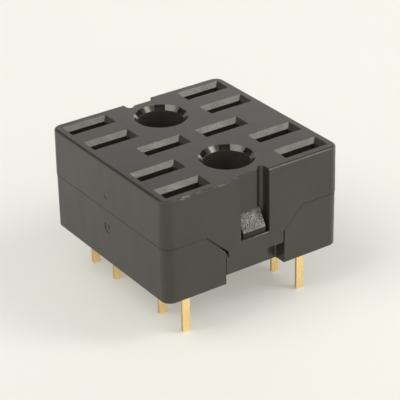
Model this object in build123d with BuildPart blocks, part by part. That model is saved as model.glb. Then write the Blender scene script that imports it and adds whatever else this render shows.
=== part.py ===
"""Solder-pin socket for a small pushbutton switch.

Two moulded housings snap together over ten stamped contacts. The origin is the centre of the
underside, where the body meets the circuit board. +Z points up and +X runs along the blade slots.
"""
import math
import os

from build123d import *

os.makedirs("parts", exist_ok=True)

# Body, all lengths in millimetres
body_width = 15.05  # square plan, across the top face
body_height = 8.0
parting_height = 4.3  # where the two housings meet
corner_radius = 0.8
cover_draft = 0.6  # degrees
base_draft = 0.1
top_edge_radius = 0.18
foot_edge_radius = 0.08
base_step = 0.03  # the base stands this far inside the cover all round
seam_edge = 0.03

# Running clearances
snap_gap = 0.08  # behind the snap tab and round the catch
close_gap = 0.015  # the tab leans to one side, which leaves a close and an open seam
open_gap = 0.12
shoulder_gap = 0.2  # the slanted seam on the left widens to this at the shoulder
seat_gap = 0.03  # between a contact and its slot in the base

# Contact grid
column_pitch = 10.16  # between the two outer columns
centre_pitch = 5.08  # between the two contacts in the middle row
inner_row = 3.05
outer_row = 6.1

# Blade slots, for blades of 2.8 by 0.5
blade_width = 2.8
blade_thickness = 0.5
blade_end_play = 0.15
blade_side_play = 0.2
funnel_inset = 0.32
funnel_angle = 43  # degrees from upright

# Contact cells
cell_length = 3.2
cell_width = 1.4
cell_roof = 1.55  # cover thickness left over a cell
cell_floor = 0.85  # base thickness left under a contact
grip_depth = 1.05  # height of the narrow slot that holds the plate

# Stamped contact
sheet = 0.2
plate_width = 2.5
pin_width = 0.65
pin_length = 3.65  # below the underside of the body
pin_taper = 0.1
pin_tip = 0.5
tine_gap = 0.1
middle_tine = 0.8
tine_bow = 0.42  # the tine's middle line at its widest point
tine_grip = 0.14  # the tine's middle line at the gripping point
tine_flare = 0.36
tine_rise = 1.2  # from the root to the widest point
tine_lead = 0.75  # from the gripping point to the tip
tine_bend = 0.5
tip_space = 0.25  # between a tine's tip and the roof of its cell

# Guide bores
bore_place = 4.2
bore_radius = 1.69
bore_rim_radius = 2.03
key_width = 0.8  # notches in the rim of each bore
key_count = 6

# Snap tab, window and catch in the middle of the front and of the back
tab_top = 4.2  # half width at the parting line
tab_half = 2.5  # half width of the straight part
tab_shoulder = 2.6  # height where the slanted sides end
tab_bottom = 0.78
tab_thickness = 1.0
wing_thickness = 0.4
wing_step = 0.005  # the wings and the tab stand this far inside the cover's face
notch_place = 1.1  # the corner notch starts here
notch_top = 1.75
window_reach = 1.22  # from the middle to the left end of the window
window_bottom = 3.07
window_top = 4.9
channel_half = 1.25
channel_depth = 0.56
channel_round = 0.05
groove_radius = 0.3
groove_depth = 0.82
groove_edge = 0.1
sill_edge = 0.05
recess_corner = 0.12
shoulder_relief = 0.55  # height of the notch in the tab below its left shoulder
catch_half = 0.97
catch_land = 0.38
catch_reach = 0.05  # the catch stays this far inside the front
catch_slope = 1.66  # rise over run of the ramp

# Moulding marks on the left side
gate_radius = 0.42
gate_depth = 0.04
gate_pip = 0.17
gate_height = 2.9
dimple_radius = 0.28
dimple_depth = 0.03
dimple_height = 5.5

# Worked-out sizes
cover_rise = body_height - parting_height
cover_half = body_width / 2 + cover_rise * math.tan(math.radians(cover_draft))
base_half = cover_half - base_step
throat_length = blade_width + 2 * blade_end_play
throat_width = blade_thickness + 2 * blade_side_play
funnel_depth = funnel_inset / math.tan(math.radians(funnel_angle))
cell_top = body_height - cell_roof
tine_root = cell_floor + grip_depth
front_reach = body_width / 2
tab_reach = cover_half - wing_step
catch_wall = tab_reach - tab_thickness - snap_gap
base_foot = base_half - parting_height * math.tan(math.radians(base_draft))
bore_lead = bore_rim_radius - bore_radius
groove_place = channel_half - groove_radius
side_tine = (plate_width - middle_tine) / 2 - tine_gap

contact_places = []
for column in (-column_pitch / 2, column_pitch / 2):
    for row in (outer_row, inner_row, -inner_row, -outer_row):
        contact_places.append((column, row))
contact_places.append((-centre_pitch / 2, 0))
contact_places.append((centre_pitch / 2, 0))
bore_places = [(0, -bore_place), (0, bore_place)]


def snap_planes(distance):
    """Upright planes for the front and the back snap, seen from outside, at a distance from the centre."""
    front = Plane(origin=(0, -distance, 0), x_dir=(1, 0, 0), z_dir=(0, -1, 0))
    back = Plane(origin=(0, distance, 0), x_dir=(-1, 0, 0), z_dir=(0, 1, 0))
    return [front, back]


def side_plane(distance, height):
    """Upright plane on the left side, seen from outside."""
    return Plane(origin=(-distance, 0, height), x_dir=(0, -1, 0), z_dir=(-1, 0, 0))


def wing_outline(left_top=0, left_shoulder=0, right=0):
    """Draw the slanted shoulders that carry the snap tab, set in on the left and wider on the right."""
    with BuildLine() as outline:
        Polyline(
            (left_top - tab_top, parting_height),
            (left_shoulder - tab_half, tab_shoulder),
            (tab_half + right, tab_shoulder),
            (tab_top + right, parting_height),
            (tab_top + right, parting_height + seam_edge),
            (left_top - tab_top, parting_height + seam_edge),
            close=True,
        )
    return outline.line


def cut_at_places(places, height, length, width, depth):
    """Cut an upright rectangular pocket at each place, upwards from a height."""
    with BuildSketch(Plane.XY.offset(height)) as outline:
        with Locations(*places):
            Rectangle(length, width)
    extrude(outline.sketch, amount=depth, mode=Mode.SUBTRACT)


with BuildPart() as cover:
    with BuildSketch(Plane.XY.offset(parting_height)):
        RectangleRounded(2 * cover_half, 2 * cover_half, corner_radius)
    extrude(amount=cover_rise, taper=cover_draft)
    fillet(cover.faces().sort_by(Axis.Z)[-1].edges(), top_edge_radius)
    chamfer(cover.faces().sort_by(Axis.Z)[0].edges(), seam_edge)

    # Wings and snap tab below the parting line
    with BuildSketch(*snap_planes(tab_reach)):
        make_face(wing_outline(snap_gap, shoulder_gap).edges())
    extrude(amount=-wing_thickness)
    with BuildSketch(*snap_planes(tab_reach)):
        with BuildLine():
            Polyline(
                (shoulder_gap - tab_half, parting_height + seam_edge),
                (shoulder_gap - tab_half, tab_shoulder - shoulder_relief),
                (-tab_half, tab_shoulder),
                (-tab_half, tab_bottom),
                (notch_place, tab_bottom),
                (notch_place, notch_top),
                (tab_half, notch_top),
                (tab_half, parting_height + seam_edge),
                close=True,
            )
        make_face()
    extrude(amount=-tab_thickness)

    # Channel down to the window, rounded at its rim
    with BuildSketch(*snap_planes(front_reach - channel_depth)):
        with Locations((0, window_top)):
            Rectangle(2 * channel_half, body_height, align=(Align.CENTER, Align.MIN))
    extrude(amount=2 * channel_depth, mode=Mode.SUBTRACT)
    top_edges = cover.edges().filter_by(Axis.X).group_by(Axis.Z)[-1]
    fillet(top_edges.filter_by_position(Axis.X, -channel_half, channel_half), channel_round)

    # Round-bottomed groove along the right wall of the channel, with a soft edge towards the channel
    with BuildSketch(Plane.XY.offset(window_top)) as channel_plan:
        with PolarLocations(0, 2):
            with Locations((0, -front_reach)):
                Rectangle(2 * channel_half, 2 * channel_depth)
            with Locations((groove_place, -front_reach)):
                SlotOverall(2 * groove_depth, 2 * groove_radius, rotation=90)
        groove_corners = channel_plan.vertices().filter_by_position(Axis.X, -groove_place, groove_place)
        fillet(groove_corners, groove_edge)
    extrude(amount=body_height, mode=Mode.SUBTRACT)
    with BuildSketch(Plane.XY.offset(window_bottom)):
        with PolarLocations(0, 2):
            with Locations((groove_place, -front_reach)):
                SlotOverall(2 * groove_depth, 2 * groove_radius, rotation=90)
    extrude(amount=window_top - window_bottom, mode=Mode.SUBTRACT)

    # Contact cells, blade throats and funnels
    cut_at_places(contact_places, parting_height, cell_length, cell_width, cell_top - parting_height)
    cut_at_places(contact_places, cell_top, throat_length, throat_width, cell_roof)
    with BuildSketch(Plane.XY.offset(body_height - funnel_depth)):
        with Locations(*contact_places):
            Rectangle(throat_length, throat_width)
    extrude(amount=funnel_depth, taper=-funnel_angle, mode=Mode.SUBTRACT)

    # Guide bores with a lead-in that is notched all round
    with Locations(Plane.XY.offset(body_height)):
        with Locations(*bore_places):
            CounterSinkHole(bore_radius, bore_rim_radius, cover_rise, counter_sink_angle=90)
    key_reach = math.sqrt(bore_rim_radius**2 - (key_width / 2) ** 2)
    with BuildSketch(Plane.XY.offset(body_height - bore_lead)):
        with Locations(*bore_places):
            with PolarLocations(0, key_count // 2, 0, 180):
                Rectangle(2 * key_reach, key_width)
    extrude(amount=bore_lead, mode=Mode.SUBTRACT)

    # Window, open to the pocket that takes the catch, with a broken edge along its sill
    window_length = window_reach + catch_half + snap_gap
    with BuildSketch(*snap_planes(catch_wall - snap_gap)):
        with Locations((-window_reach, window_bottom)):
            Rectangle(window_length, window_top - window_bottom, align=(Align.MIN, Align.MIN))
    extrude(amount=2 * tab_thickness, mode=Mode.SUBTRACT)
    window_edges = cover.edges().filter_by(Axis.X)
    sill_edges = window_edges.filter_by_position(Axis.Z, window_bottom - snap_gap, window_bottom + snap_gap)
    chamfer(sill_edges.group_by(Axis.Y)[0] + sill_edges.group_by(Axis.Y)[-1], sill_edge)

    # Small moulding mark on the left side
    with BuildSketch(side_plane(cover_half, dimple_height)):
        Circle(dimple_radius)
    extrude(amount=-dimple_depth, mode=Mode.SUBTRACT)
cover.part.label = "cover"
export_step(cover.part, "parts/cover.step")


with BuildPart() as base:
    with BuildSketch():
        RectangleRounded(2 * base_foot, 2 * base_foot, corner_radius - base_step)
    extrude(amount=parting_height, taper=-base_draft)
    fillet(base.faces().sort_by(Axis.Z)[0].edges(), foot_edge_radius)
    chamfer(base.faces().sort_by(Axis.Z)[-1].edges(), seam_edge)

    # Recess for the wings and a deeper one for the snap tab
    with BuildSketch(*snap_planes(tab_reach - wing_thickness - snap_gap)):
        make_face(wing_outline(right=close_gap).edges())
    extrude(amount=2 * wing_thickness, mode=Mode.SUBTRACT)
    with BuildSketch(*snap_planes(catch_wall)):
        with Locations((-tab_half - close_gap, 0)):
            Rectangle(2 * tab_half + close_gap + open_gap, 2 * body_height, align=(Align.MIN, Align.CENTER))
    extrude(amount=2 * tab_thickness, mode=Mode.SUBTRACT)
    wall_edges = base.edges().filter_by(Axis.Z).filter_by_position(Axis.Y, -catch_wall, catch_wall)
    fillet(wall_edges, recess_corner)

    # Catches with a ramp that the snap tab rides over
    land_bottom = window_bottom + snap_gap
    land_top = land_bottom + catch_land
    catch_top = window_top - snap_gap
    catch_front = base_half - catch_reach
    ramp_end = catch_front - (catch_top - land_top) / catch_slope
    with BuildSketch(Plane.YZ.offset(-catch_half)):
        with BuildLine():
            Polyline(
                (-catch_wall, land_bottom),
                (-catch_front, land_bottom),
                (-catch_front, land_top),
                (-ramp_end, catch_top),
                (-catch_wall, catch_top),
                close=True,
            )
        make_face()
        mirror(about=Plane.YZ)
    extrude(amount=2 * catch_half)

    # Cells, slots for the contact plates and slots for the solder pins
    cut_at_places(contact_places, tine_root, cell_length, cell_width, parting_height - tine_root)
    cut_at_places(contact_places, cell_floor, plate_width + 2 * seat_gap, sheet + 2 * seat_gap, grip_depth)
    cut_at_places(contact_places, 0, pin_width + 2 * seat_gap, sheet + 2 * seat_gap, cell_floor)

    # Guide bores
    with BuildSketch():
        with Locations(*bore_places):
            Circle(bore_radius)
    extrude(amount=parting_height, mode=Mode.SUBTRACT)

    # Ring mark of the moulding gate on the left side
    with BuildSketch(side_plane(base_half, gate_height)):
        Circle(gate_radius)
        Circle(gate_pip, mode=Mode.SUBTRACT)
    extrude(amount=-gate_depth, mode=Mode.SUBTRACT)
base.part.label = "base"
export_step(base.part, "parts/base.step")


def bend_tine(side, start, width):
    """Add one tine to the contact: it bows out from the plate, grips the blade and flares at its tip."""
    tip_height = cell_top - tip_space
    with BuildSketch(Plane.YZ.offset(start)) as profile:
        with BuildLine():
            FilletPolyline(
                (0, tine_root - sheet),
                (0, tine_root + sheet),
                (side * tine_bow, tine_root + tine_rise),
                (side * tine_grip, tip_height - tine_lead),
                (side * tine_flare, tip_height),
                radius=tine_bend,
            )
        trace(line_width=sheet)
    extrude(profile.sketch, amount=width)


with BuildPart() as contact_form:
    # Plate and solder pin, cut from flat sheet
    with BuildSketch(Plane.XZ.offset(-sheet / 2)):
        with BuildLine():
            Polyline(
                (-plate_width / 2, cell_floor),
                (-plate_width / 2, tine_root),
                (plate_width / 2, tine_root),
                (plate_width / 2, cell_floor),
                (pin_width / 2, cell_floor),
                (pin_width / 2, pin_taper - pin_length),
                (pin_tip / 2, -pin_length),
                (-pin_tip / 2, -pin_length),
                (-pin_width / 2, pin_taper - pin_length),
                (-pin_width / 2, cell_floor),
                close=True,
            )
        make_face()
    extrude(amount=sheet)

    # Two outer tines bow to one side and the middle one to the other
    bend_tine(1, -plate_width / 2, side_tine)
    bend_tine(1, plate_width / 2 - side_tine, side_tine)
    bend_tine(-1, -middle_tine / 2, middle_tine)

for number, (place_x, place_y) in enumerate(contact_places, start=1):
    name = f"contact_{number}"
    with BuildPart() as contact:
        with Locations((place_x, place_y, 0)):
            add(contact_form.part)
    contact.part.label = name
    export_step(contact.part, f"parts/{name}.step")
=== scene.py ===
"""Looks of a solder-pin socket for a small pushbutton switch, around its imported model.

Two black moulded housings snap together over ten gold-plated contacts. Metres throughout, +Z up.
"""
import math

import bpy
from mathutils import Matrix, Vector


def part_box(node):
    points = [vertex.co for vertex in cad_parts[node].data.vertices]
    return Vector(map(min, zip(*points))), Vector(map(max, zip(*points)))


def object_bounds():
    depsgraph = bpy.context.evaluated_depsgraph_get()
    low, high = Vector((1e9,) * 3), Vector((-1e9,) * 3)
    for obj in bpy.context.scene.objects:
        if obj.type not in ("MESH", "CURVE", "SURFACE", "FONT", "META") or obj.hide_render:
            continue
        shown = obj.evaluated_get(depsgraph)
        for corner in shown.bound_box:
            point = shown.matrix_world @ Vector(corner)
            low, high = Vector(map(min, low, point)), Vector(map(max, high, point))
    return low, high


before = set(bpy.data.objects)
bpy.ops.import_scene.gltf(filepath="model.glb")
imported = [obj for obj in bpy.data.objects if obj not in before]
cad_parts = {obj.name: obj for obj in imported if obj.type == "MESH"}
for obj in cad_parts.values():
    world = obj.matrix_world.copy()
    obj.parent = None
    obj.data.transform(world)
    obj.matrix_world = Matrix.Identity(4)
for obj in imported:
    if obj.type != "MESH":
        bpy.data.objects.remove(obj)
model_box = [list(corner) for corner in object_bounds()]

MM = 0.001

# Heights read from the model. The sizes below are the model's own, put down as numbers.
body_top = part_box("cover")[1].z
floor_level = model_box[0][2]

# Joint between the housings. A snap tab's right shoulder slants up from its foot to the parting.
parting_height = 4.3 * MM
shoulder_foot = 2.6 * MM
shoulder_right = 4.2 * MM
face_band = (7.1 * MM, 7.2 * MM)
left_fade = (-5.0 * MM, -6.9 * MM)
past_shoulder = (shoulder_right - 0.1 * MM, shoulder_right)
above_foot = (shoulder_foot - 0.05 * MM, shoulder_foot)
below_parting = (parting_height + 0.03 * MM, parting_height)
level_line = (0.07 * MM, 0.01 * MM)
slanted_line = (0.09 * MM, 0.02 * MM)
unmarked_band = (0.25 * MM, 0.15 * MM)

# Places with a finish of their own: heights, and slopes as the upward part of the surface normal
ramp_heights = (3.53 * MM, 4.82 * MM)
ramp_slopes = (0.4, 0.62)
funnel_heights = (body_top - 0.343 * MM, body_top - 0.01 * MM)
funnel_slopes = (0.6, 0.78)
slope_facing = (0.1, 0.5)

# Guide bores: distance of each axis from the middle, and how far the walls' and mouths' finish reaches
bore_place = 4.2 * MM
bore_radius = 1.69 * MM
bore_mouth = 2.03 * MM
walls_reach = (bore_radius + 0.06 * MM, bore_radius + 0.01 * MM)
mouths_reach = (bore_mouth + 0.01 * MM, bore_mouth - 0.02 * MM)

# Upright face under each catch ramp, painted dark as shade
toe_height = 0.4 * MM
toe_low_fade = 0.05 * MM
toe_high_fade = 0.02 * MM
toe_sides = (1.75 * MM, 1.7 * MM)
toe_facing = (0.9, 0.95)

# Dull length of the top rim at the front left, with pale dashes that are partly scuffs and partly painted
# highlight
rim_band = (-7.0 * MM, -7.2 * MM)
rim_end = (0.5 * MM, -0.5 * MM)
rim_off_wall = (0.05, 0.2)
rim_off_top = (0.998, 0.98)
dash_growth = (-2.5 * MM, -6.5 * MM)
dash_least = 0.25
dash_stop = (-6.9 * MM, -6.5 * MM)
rim_seed_step = 5.0

# Patterns: waves in a metre, and their scale along each axis, where less than 1 draws them out
skin_waves = 7000
cloud_waves = 330
flow_waves = 800
speck_waves = 4200
grain_waves = 12000
drift_waves = 900
rub_highlight_waves = 1500
dash_waves = 3600
drawn_waves = 6000
plating_waves = 1500
paper_waves = 40
flow_stretch = (1.0, 1.0, 0.14)
dash_stretch = (0.3, 1.0, 1.0)
drawn_stretch = (1.0, 1.0, 0.08)

# Pattern values between which each pattern fades in
speck_marks = (0.74, 0.8)
cloud_marks = (0.3, 0.75)
streak_marks = (0.3, 0.7)
crest_marks = (0.38, 0.7)
drift_marks = (0.3, 0.65)
rub_highlight_marks = (0.52, 0.62)
dash_marks = (0.53, 0.63)
plating_marks = (0.35, 0.7)

# Turns of the surface, and its openness, between which an effect fades in
edge_turn = (0.995, 0.93)
upward_turn = (0.1, 0.4)
level_turn = (0.97, 0.995)
sheared_turn = (0.8, 0.95)
open_marks = (0.62, 0.82)

# Widths of edges, and depths and strengths of fine relief
rub_highlight_width = 0.06 * MM
rub_highlight_clearance = 0.25 * MM
plastic_edge = 0.02 * MM
gold_edge = 0.03 * MM
skin_depth = 0.004 * MM
skin_strength = 0.6
drawn_depth = 0.002 * MM
drawn_strength = 0.2

# Shares of effects, from 0 to 1
drift_least = 0.6
dust_share = 0.35
rub_and_highlight_share = 0.8
bronze_share = 0.55

# Gloss: roughness, what the bores' mouths keep of it, and the plastic's index of refraction
plastic_satin = (0.285, 0.36)
plastic_edge_roughness = 0.6
plastic_rim_roughness = 0.75
mouth_share = 0.5
gold_satin = (0.22, 0.3)
paper_roughness = 0.75
plastic_ior = 1.55

# Camera and floor
view_azimuth = math.radians(-34.18)
view_elevation = math.radians(28.11)
view_roll = math.radians(-1.156)
view_distance = 127.48 * MM
view_aim = Vector((0.969, 0.708, 2.115)) * MM
view_lens = 154.0
view_sensor = 36
view_nearest = 0.01
view_farthest = 10
floor_size = 3

# Colours, linear
plastic_black = (0.0205, 0.0192, 0.016, 1)
plastic_cloud = (0.028, 0.0265, 0.0225, 1)
# Pale plastic for dust, grain crests, rubbed edges and rim dashes; on crests, edges and dashes it is
# partly painted highlight
plastic_pale_and_highlight = (0.36, 0.35, 0.32, 1)
# Dark joint, also painted shade on the upright face under each catch ramp
plastic_joint_and_shade = (0.006, 0.006, 0.005, 1)
plastic_sheen = (1.0, 0.97, 0.89, 1)
plastic_bore = (0.038, 0.035, 0.031, 1)
gold = (1.0, 0.79, 0.4, 1)
gold_deep = (1.0, 0.73, 0.33, 1)
bronze = (0.42, 0.22, 0.1, 1)
paper = (0.625, 0.62, 0.6, 1)
paper_shade = (0.6, 0.595, 0.577, 1)
paper_far = (0.93, 0.92, 0.855, 1)
room = (0.97, 0.96, 0.92, 1)
# Colour of the glow that the paper floor gives off, though it is no lamp
paper_glow_colour = (1.0, 0.97, 0.87, 1)

# Light: a dim room, a glow from the paper floor though it is no lamp, and a bright strip low down on the
# right that is weaker at its ends
room_dim = 0.1
paper_glow = 0.22
strip_brightness = 2.35
strip_ends = 0.7
strip_heights = (0.46, 0.2)
strip_direction = (0.94, -0.34, 0.0)
strip_reach = (-0.3, 0.5)

# Soft glows in the room: direction, cosines at the outer and inner edge, and brightness
side_glows = (
    ((-0.74, -0.35, 0.57), (0.6, 1.0), 0.72),
    ((-0.6, 0.04, 0.8), (0.9, 0.99), 4.2),
    ((0.2, -0.87, 0.45), (0.6, 1.0), 0.6),
    ((0.0, 0.0, 1.0), (0.7, 0.95), 0.25),
    ((0.5, -0.45, 0.74), (0.98, 0.995), 6.5),
    ((0.497, 0.729, 0.471), (0.8, 1.0), 0.24),
)


def clear_selection():
    """Deselect everything, as the model's parts come in selected."""
    bpy.ops.object.select_all(action="DESELECT")


def add_node(tree, kind, **settings):
    """Add a node and set its properties."""
    node = tree.nodes.new(kind)
    for name, value in settings.items():
        setattr(node, name, value)
    return node


def join(tree, pairs):
    """Link each output to its input."""
    for start, end in pairs:
        tree.links.new(start, end)


def feed(tree, socket, value):
    """Give a socket a link or a plain value."""
    if isinstance(value, bpy.types.NodeSocket):
        tree.links.new(value, socket)
    else:
        socket.default_value = value


def new_group(name, vectors, numbers, results):
    """Make an empty shader group from the names of its vector inputs, number inputs and results."""
    group = bpy.data.node_groups.new(name, "ShaderNodeTree")
    for label in vectors:
        group.interface.new_socket(label, in_out="INPUT", socket_type="NodeSocketVector")
    for label in numbers:
        group.interface.new_socket(label, in_out="INPUT", socket_type="NodeSocketFloat")
    for label in results:
        group.interface.new_socket(label, in_out="OUTPUT", socket_type="NodeSocketFloat")
    given = group.nodes.new("NodeGroupInput")
    made = group.nodes.new("NodeGroupOutput")
    return group, given.outputs, made.inputs


def math_node(tree, operation, *values):
    """Add a math node fed by sockets or plain numbers and return its output."""
    node = add_node(tree, "ShaderNodeMath", operation=operation)
    for socket, value in zip(node.inputs, values):
        feed(tree, socket, value)
    return node.outputs[0]


def product(tree, first, *others):
    """Multiply masks, values or plain numbers in turn."""
    for other in others:
        first = math_node(tree, "MULTIPLY", first, other)
    return first


def strongest(tree, first, *others):
    """Keep the highest of several masks or values."""
    for other in others:
        first = math_node(tree, "MAXIMUM", first, other)
    return first


def outside(tree, mask):
    """Turn a mask into the one of everything that it leaves out."""
    return math_node(tree, "SUBTRACT", 1.0, mask)


def unsigned(tree, value):
    """Drop the sign of a value."""
    return math_node(tree, "ABSOLUTE", value)


def ramp(tree, value, low, high, out_low=0.0, out_high=1.0):
    """Turn a value between two marks into a soft-edged mask and return its output."""
    node = add_node(tree, "ShaderNodeMapRange", interpolation_type="SMOOTHSTEP")
    for name, number in (
        ("Value", value), ("From Min", low), ("From Max", high), ("To Min", out_low), ("To Max", out_high),
    ):
        feed(tree, node.inputs[name], number)
    return node.outputs["Result"]


def noise(tree, vector, waves, detail, seed=0.0, rough=0.5):
    """Add a noise pattern and return its value."""
    node = add_node(tree, "ShaderNodeTexNoise", noise_dimensions="4D")
    for name, number in (
        ("Vector", vector), ("Scale", waves), ("Detail", detail), ("W", seed), ("Roughness", rough),
    ):
        feed(tree, node.inputs[name], number)
    return node.outputs["Fac"]


def stretch(tree, vector, scale):
    """Scale a pattern differently along each axis."""
    node = add_node(tree, "ShaderNodeMapping")
    feed(tree, node.inputs["Vector"], vector)
    node.inputs["Scale"].default_value = scale
    return node.outputs["Vector"]


def split(tree, vector):
    """Give the X, Y and Z of a vector."""
    node = add_node(tree, "ShaderNodeSeparateXYZ")
    feed(tree, node.inputs[0], vector)
    return node.outputs


def towards(tree, vector, direction):
    """Cosine of the angle between a vector and a direction."""
    node = add_node(tree, "ShaderNodeVectorMath", operation="DOT_PRODUCT")
    join(tree, [(vector, node.inputs[0])])
    node.inputs[1].default_value = Vector(direction).normalized()
    return node.outputs["Value"]


def blend(tree, factor, first, second):
    """Mix two colours and return the result."""
    node = add_node(tree, "ShaderNodeMix", data_type="RGBA")
    feed(tree, node.inputs["Factor"], factor)
    feed(tree, node.inputs["A"], first)
    feed(tree, node.inputs["B"], second)
    return node.outputs["Result"]


def soften_edges(tree, radius):
    """Round the shading of sharp edges and return the normal."""
    node = add_node(tree, "ShaderNodeBevel", samples=4)
    node.inputs["Radius"].default_value = radius
    return node.outputs["Normal"]


def add_relief(tree, height, depth, strength, normal):
    """Add a bump of some depth over a normal and return the new normal."""
    node = add_node(tree, "ShaderNodeBump")
    node.inputs["Distance"].default_value = depth
    feed(tree, node.inputs["Strength"], strength)
    join(tree, [(height, node.inputs["Height"]), (normal, node.inputs["Normal"])])
    return node.outputs["Normal"]


def build_moulded_skin():
    """Skin of a moulded part: fine texture, slow cloudy tone, upright flow streaks and specks of dust."""
    group, given, made = new_group(
        "moulded_skin", ["Vector"], ["Seed"], ["Height", "Tone", "Flow", "Specks"],
    )
    place = given["Vector"]
    seed = given["Seed"]
    streaks = stretch(group, place, flow_stretch)
    specks = noise(group, place, speck_waves, detail=1, seed=seed)
    join(group, [
        (noise(group, place, skin_waves, detail=3, seed=seed, rough=0.6), made["Height"]),
        (noise(group, place, cloud_waves, detail=4, seed=seed, rough=0.6), made["Tone"]),
        (noise(group, streaks, flow_waves, detail=2, seed=seed), made["Flow"]),
        (ramp(group, specks, *speck_marks), made["Specks"]),
    ])
    return group


def build_spark_grain():
    """Grain left by an eroded mould: coarse crests and pits, in drifts that are stronger and weaker."""
    group, given, made = new_group("spark_grain", ["Vector"], ["Seed"], ["Height", "Crests"])
    grain = noise(group, given["Vector"], grain_waves, detail=2, seed=given["Seed"], rough=0.6)
    drift = noise(group, given["Vector"], drift_waves, detail=2, seed=given["Seed"])
    crests = product(
        group, ramp(group, grain, *crest_marks), ramp(group, drift, *drift_marks, drift_least, 1.0),
    )
    join(group, [(grain, made["Height"]), (crests, made["Crests"])])
    return group


def build_sloped_zone():
    """Mask of the surfaces between two heights that slope to the front or back within two limits."""
    group, given, made = new_group(
        "sloped_zone", ["Vector", "Normal"], ["Low", "High", "Flat", "Steep"], ["Mask"],
    )
    height = split(group, given["Vector"])["Z"]
    normal = split(group, given["Normal"])
    mask = product(
        group,
        ramp(group, unsigned(group, normal["Y"]), *slope_facing),
        math_node(group, "GREATER_THAN", height, given["Low"]),
        math_node(group, "LESS_THAN", height, given["High"]),
        math_node(group, "GREATER_THAN", normal["Z"], given["Flat"]),
        math_node(group, "LESS_THAN", normal["Z"], given["Steep"]),
    )
    join(group, [(mask, made["Mask"])])
    return group


def build_bore_zone():
    """Masks of the guide bores' walls and of their mouths, from the distance to each bore's axis."""
    group, given, made = new_group("bore_zone", ["Vector"], [], ["Walls", "Mouths"])
    at = split(group, given["Vector"])
    along = math_node(group, "SUBTRACT", unsigned(group, at["Y"]), bore_place)
    squares = math_node(group, "ADD", product(group, along, along), product(group, at["X"], at["X"]))
    reach = math_node(group, "SQRT", squares)
    join(group, [
        (ramp(group, reach, *walls_reach), made["Walls"]),
        (ramp(group, reach, *mouths_reach), made["Mouths"]),
    ])
    return group


def build_edge_wear_and_highlight():
    """Outer edges that look up: a broken pale line where the surface turns, kept off inner corners. The
    pale line is partly rubbed wear and partly painted highlight.
    """
    group, given, made = new_group("edge_wear_and_highlight", ["Vector"], ["Seed", "Width"], ["Mask", "Edge"])
    rounded = add_node(group, "ShaderNodeBevel", samples=8)
    true_normal = add_node(group, "ShaderNodeNewGeometry")
    turn = add_node(group, "ShaderNodeVectorMath", operation="DOT_PRODUCT")
    openness = add_node(group, "ShaderNodeAmbientOcclusion", samples=8, only_local=True)
    openness.inputs["Distance"].default_value = rub_highlight_clearance
    join(group, [
        (given["Width"], rounded.inputs["Radius"]),
        (rounded.outputs["Normal"], turn.inputs[0]),
        (true_normal.outputs["Normal"], turn.inputs[1]),
    ])
    edge = ramp(group, turn.outputs["Value"], *edge_turn)
    broken = noise(group, given["Vector"], rub_highlight_waves, detail=4, seed=given["Seed"], rough=0.7)
    mask = product(
        group,
        edge,
        ramp(group, broken, *rub_highlight_marks),
        ramp(group, openness.outputs["AO"], *open_marks),
        ramp(group, split(group, rounded.outputs["Normal"])["Z"], *upward_turn),
    )
    join(group, [(mask, made["Mask"]), (edge, made["Edge"])])
    return group


def build_rim_scuffs_and_highlight():
    """Masks of the rounded top rim at the front left: its dull length, and the pale dashes on it, which
    are partly scuffs and partly painted highlight.
    """
    group, given, made = new_group("rim_scuffs_and_highlight", ["Vector", "Normal"], ["Seed"], ["Dull", "Dashes"])
    at = split(group, given["Vector"])
    slope = split(group, given["Normal"])["Z"]
    dull = product(
        group,
        ramp(group, slope, *rim_off_wall),
        ramp(group, slope, *rim_off_top),
        ramp(group, at["Y"], *rim_band),
        ramp(group, at["X"], *rim_end),
    )
    drawn = stretch(group, given["Vector"], dash_stretch)
    broken = noise(group, drawn, dash_waves, detail=3, seed=given["Seed"], rough=0.7)
    dashes = product(
        group,
        dull,
        ramp(group, broken, *dash_marks),
        ramp(group, at["X"], *dash_growth, dash_least, 1.0),
        ramp(group, at["X"], *dash_stop),
    )
    join(group, [(dull, made["Dull"]), (dashes, made["Dashes"])])
    return group


def build_joint_line():
    """Mask of the dark joint, and of the band near it that is kept free of the pale edge marks of wear and
    painted highlight.

    The line is plain on the left side and fades along the front and the back. It is plain again down each
    tab's right shoulder and from there to the corner. Seen from behind, right lies at -X.
    """
    group, given, made = new_group("joint_line", ["Vector"], [], ["Mask", "Near"])
    at = split(group, given["Vector"])
    height = at["Z"]
    right = product(group, at["X"], math_node(group, "SIGN", at["Y"]), -1.0)
    faces = ramp(group, unsigned(group, at["Y"]), *face_band)
    off = unsigned(group, math_node(group, "SUBTRACT", height, parting_height))
    beyond = product(group, faces, ramp(group, right, *past_shoulder))
    level = product(
        group, ramp(group, off, *level_line), strongest(group, beyond, ramp(group, at["X"], *left_fade)),
    )
    above = math_node(group, "SUBTRACT", height, right)
    fall = math_node(group, "SUBTRACT", above, parting_height - shoulder_right)
    slant = product(
        group,
        ramp(group, unsigned(group, fall), *slanted_line),
        faces,
        ramp(group, height, *above_foot),
        ramp(group, height, *below_parting),
    )
    join(group, [
        (strongest(group, level, slant), made["Mask"]),
        (ramp(group, off, *unmarked_band), made["Near"]),
    ])
    return group


def add_effect(tree, group, where, **values):
    """Add a group that reads the object's own place, with its plain values, and return its outputs."""
    node = add_node(tree, "ShaderNodeGroup", node_tree=group)
    join(tree, [(where.outputs["Object"], node.inputs["Vector"])])
    if "Normal" in node.inputs:
        join(tree, [(where.outputs["Normal"], node.inputs["Normal"])])
    for name, value in values.items():
        node.inputs[name].default_value = value
    return node.outputs


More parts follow.
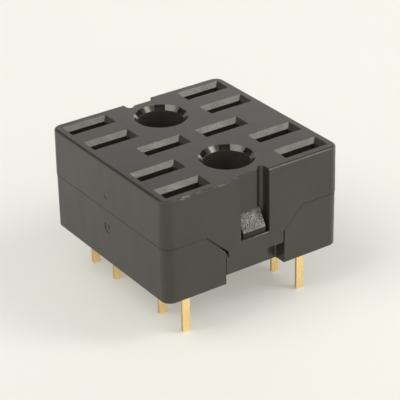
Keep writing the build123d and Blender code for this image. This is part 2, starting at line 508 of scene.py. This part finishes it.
def shade_toe(tree, where, ramp_foot, shade_and_dullness):
    """Mask of the short upright face under each catch ramp, deep in its window, where shade is painted in.
    """
    at = split(tree, where.outputs["Object"])
    facing = unsigned(tree, split(tree, where.outputs["Normal"])["Y"])
    toe_foot = ramp_foot - toe_height
    return product(
        tree,
        shade_and_dullness,
        ramp(tree, facing, *toe_facing),
        ramp(tree, at["Z"], toe_foot - toe_low_fade, toe_foot),
        ramp(tree, at["Z"], ramp_foot + toe_high_fade, ramp_foot),
        ramp(tree, unsigned(tree, at["X"]), *toe_sides),
    )


def add_plastic(name, seed, heights, slopes, crest_share, crest_depth, toe_shade_and_dullness):
    """Black satin plastic of a housing. Surfaces that slope between two heights carry the spark grain,
    whose pale crests are partly painted highlight.
    """
    material = bpy.data.materials.new(name)
    material.use_nodes = True
    tree = material.node_tree
    shader = tree.nodes["Principled BSDF"]
    shader.inputs["IOR"].default_value = plastic_ior
    shader.inputs["Specular Tint"].default_value = plastic_sheen
    where = add_node(tree, "ShaderNodeTexCoord")
    skin = add_effect(tree, moulded_skin, where, Seed=seed)
    rubs_and_highlights = add_effect(tree, edge_wear_and_highlight, where, Seed=seed, Width=rub_highlight_width)
    grain = add_effect(tree, spark_grain, where, Seed=seed)
    bores = add_effect(tree, bore_zone, where)
    zone = add_effect(
        tree, sloped_zone, where, Low=heights[0], High=heights[1], Flat=slopes[0], Steep=slopes[1],
    )
    rim = add_effect(tree, rim_scuffs_and_highlight, where, Seed=seed + rim_seed_step)
    joint = add_effect(tree, joint_line, where)
    eroded = product(tree, zone["Mask"], outside(tree, bores["Mouths"]))
    joint_and_shade = strongest(tree, joint["Mask"], shade_toe(tree, where, heights[0], toe_shade_and_dullness))

    # Colour: cloudy black, the bores, then dust, pale crests, rubbed edges, the dark joint and painted
    # shade
    level = ramp(tree, split(tree, where.outputs["Normal"])["Z"], *level_turn)
    rubbed_and_lit = strongest(tree, product(tree, rubs_and_highlights["Mask"], outside(tree, joint["Near"])), rim["Dashes"])
    colour = blend(tree, ramp(tree, skin["Tone"], *cloud_marks), plastic_black, plastic_cloud)
    # The pale crests, rubbed edges and rim dashes are partly painted highlight.
    for mask, tint in (
        (bores["Walls"], plastic_bore),
        (product(tree, skin["Specks"], level, dust_share), plastic_pale_and_highlight),
        (product(tree, grain["Crests"], eroded, crest_share), plastic_pale_and_highlight),
        (product(tree, rubbed_and_lit, rub_and_highlight_share), plastic_pale_and_highlight),
        (joint_and_shade, plastic_joint_and_shade),
    ):
        colour = blend(tree, mask, colour, tint)

    # Gloss: satin with flow streaks, smoother in the bores' mouths, dull on edges, rim and joint
    satin = ramp(tree, skin["Flow"], *streak_marks, *plastic_satin)
    roughness = strongest(
        tree,
        product(tree, satin, ramp(tree, bores["Mouths"], 0.0, 1.0, 1.0, mouth_share)),
        product(tree, rubs_and_highlights["Edge"], ramp(tree, bores["Mouths"], 0.0, 1.0, plastic_edge_roughness, 0.0)),
        product(tree, rim["Dull"], plastic_rim_roughness),
        joint_and_shade,
    )

    # Relief: soft edges, fine skin, then the coarse grain
    normal = soften_edges(tree, plastic_edge)
    normal = add_relief(tree, skin["Height"], skin_depth, skin_strength, normal)
    normal = add_relief(tree, grain["Height"], crest_depth, eroded, normal)
    join(tree, [
        (colour, shader.inputs["Base Color"]),
        (roughness, shader.inputs["Roughness"]),
        (normal, shader.inputs["Normal"]),
    ])
    return material


def add_gold():
    """Gold plating over bronze sheet. The sheared sides of a pin are darker and browner."""
    material = bpy.data.materials.new("contact_gold")
    material.use_nodes = True
    tree = material.node_tree
    shader = tree.nodes["Principled BSDF"]
    shader.inputs["Metallic"].default_value = 1
    where = add_node(tree, "ShaderNodeTexCoord")
    place = where.outputs["Object"]
    sideways = unsigned(tree, split(tree, where.outputs["Normal"])["X"])
    drawn = noise(tree, stretch(tree, place, drawn_stretch), drawn_waves, detail=2)
    cloud = noise(tree, place, plating_waves, detail=3)
    plated = blend(tree, ramp(tree, cloud, *plating_marks), gold, gold_deep)
    sheared = product(tree, ramp(tree, sideways, *sheared_turn), bronze_share)
    normal = add_relief(tree, drawn, drawn_depth, drawn_strength, soften_edges(tree, gold_edge))
    join(tree, [
        (blend(tree, sheared, plated, bronze), shader.inputs["Base Color"]),
        (ramp(tree, drawn, *streak_marks, *gold_satin), shader.inputs["Roughness"]),
        (normal, shader.inputs["Normal"]),
    ])
    return material


def add_paper():
    """Plain pale paper that gives off a little light, though it is no lamp, so that shadows stay light."""
    material = bpy.data.materials.new("floor_paper")
    material.use_nodes = True
    tree = material.node_tree
    shader = tree.nodes["Principled BSDF"]
    where = add_node(tree, "ShaderNodeTexCoord")
    tone = blend(tree, noise(tree, where.outputs["Object"], paper_waves, detail=3), paper, paper_shade)
    join(tree, [(tone, shader.inputs["Base Color"])])
    shader.inputs["Roughness"].default_value = paper_roughness
    shader.inputs["Emission Color"].default_value = paper_glow_colour
    shader.inputs["Emission Strength"].default_value = paper_glow
    return material


def add_floor():
    """Wide plain floor that the solder pins stand on."""
    clear_selection()
    bpy.ops.mesh.primitive_plane_add(size=floor_size, location=(0, 0, floor_level))
    floor = bpy.context.object
    floor.name = "floor"
    floor.data.materials.append(add_paper())


def add_camera():
    """Camera at the photograph's angle."""
    data = bpy.data.cameras.new("camera")
    camera = bpy.data.objects.new("camera", data)
    bpy.context.collection.objects.link(camera)
    data.lens = view_lens
    data.sensor_width = view_sensor
    data.clip_start = view_nearest
    data.clip_end = view_farthest
    turn = (
        Matrix.Rotation(view_azimuth, 4, "Z")
        @ Matrix.Rotation(math.pi / 2 - view_elevation, 4, "X")
        @ Matrix.Rotation(view_roll, 4, "Z")
    )
    camera.matrix_world = Matrix.Translation(view_aim) @ turn @ Matrix.Translation((0, 0, view_distance))
    bpy.context.scene.camera = camera


def add_softbox(name, direction, distance, size, brightness):
    """Square soft light that faces the socket from a direction. Brightness is its radiance."""
    data = bpy.data.lights.new(name, "AREA")
    data.shape = "SQUARE"
    data.size = size
    data.energy = brightness * math.pi * size * size
    light = bpy.data.objects.new(name, data)
    bpy.context.collection.objects.link(light)
    outward = Vector(direction).normalized()
    light.location = outward * distance
    light.rotation_euler = outward.to_track_quat("Z", "Y").to_euler()


def add_world():
    """Room with its bright strip and glows. The camera itself sees plain paper."""
    world = bpy.data.worlds.new("room")
    bpy.context.scene.world = world
    world.use_nodes = True
    tree = world.node_tree
    lit = tree.nodes["Background"]
    lit.inputs["Color"].default_value = room
    outward = add_node(tree, "ShaderNodeTexCoord").outputs["Generated"]
    low = ramp(tree, split(tree, outward)["Z"], *strip_heights)
    along = towards(tree, outward, strip_direction)
    right = ramp(tree, along, *strip_reach, strip_ends, strip_brightness)
    glow = math_node(tree, "ADD", product(tree, low, right), room_dim)
    for direction, reach, brightness in side_glows:
        side = ramp(tree, towards(tree, outward, direction), *reach, 0.0, brightness)
        glow = math_node(tree, "ADD", glow, side)
    seen = add_node(tree, "ShaderNodeBackground")
    seen.inputs["Color"].default_value = paper_far
    seen.inputs["Strength"].default_value = 1.0
    path = add_node(tree, "ShaderNodeLightPath")
    mixer = add_node(tree, "ShaderNodeMixShader")
    join(tree, [
        (glow, lit.inputs["Strength"]),
        (path.outputs["Is Camera Ray"], mixer.inputs[0]),
        (lit.outputs[0], mixer.inputs[1]),
        (seen.outputs[0], mixer.inputs[2]),
        (mixer.outputs[0], tree.nodes["World Output"].inputs["Surface"]),
    ])


moulded_skin = build_moulded_skin()
spark_grain = build_spark_grain()
sloped_zone = build_sloped_zone()
bore_zone = build_bore_zone()
edge_wear_and_highlight = build_edge_wear_and_highlight()
rim_scuffs_and_highlight = build_rim_scuffs_and_highlight()
joint_line = build_joint_line()
# Crest shares set how pale the sloped grain is: partly grain, partly painted highlight on the funnel walls
# and catch ramps.
cover_plastic = add_plastic(
    "cover_plastic", seed=0.0, heights=funnel_heights, slopes=funnel_slopes,
    crest_share=0.14, crest_depth=0.012 * MM, toe_shade_and_dullness=0.0,
)
# The toe value paints shade on the upright face under each catch ramp, and makes it rough.
base_plastic = add_plastic(
    "base_plastic", seed=3.0, heights=ramp_heights, slopes=ramp_slopes,
    crest_share=0.9, crest_depth=0.06 * MM, toe_shade_and_dullness=0.9,
)
contact_gold = add_gold()

for name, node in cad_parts.items():
    if name == "cover":
        finish = cover_plastic
    elif name == "base":
        finish = base_plastic
    else:
        finish = contact_gold
    for slot in node.material_slots:
        slot.material = finish

add_floor()
add_camera()
add_world()
add_softbox("right_softbox", direction=(0.4974, -0.56, 0.62), distance=0.6, size=0.18, brightness=5.6)

bpy.context.scene.view_settings.view_transform = "Standard"
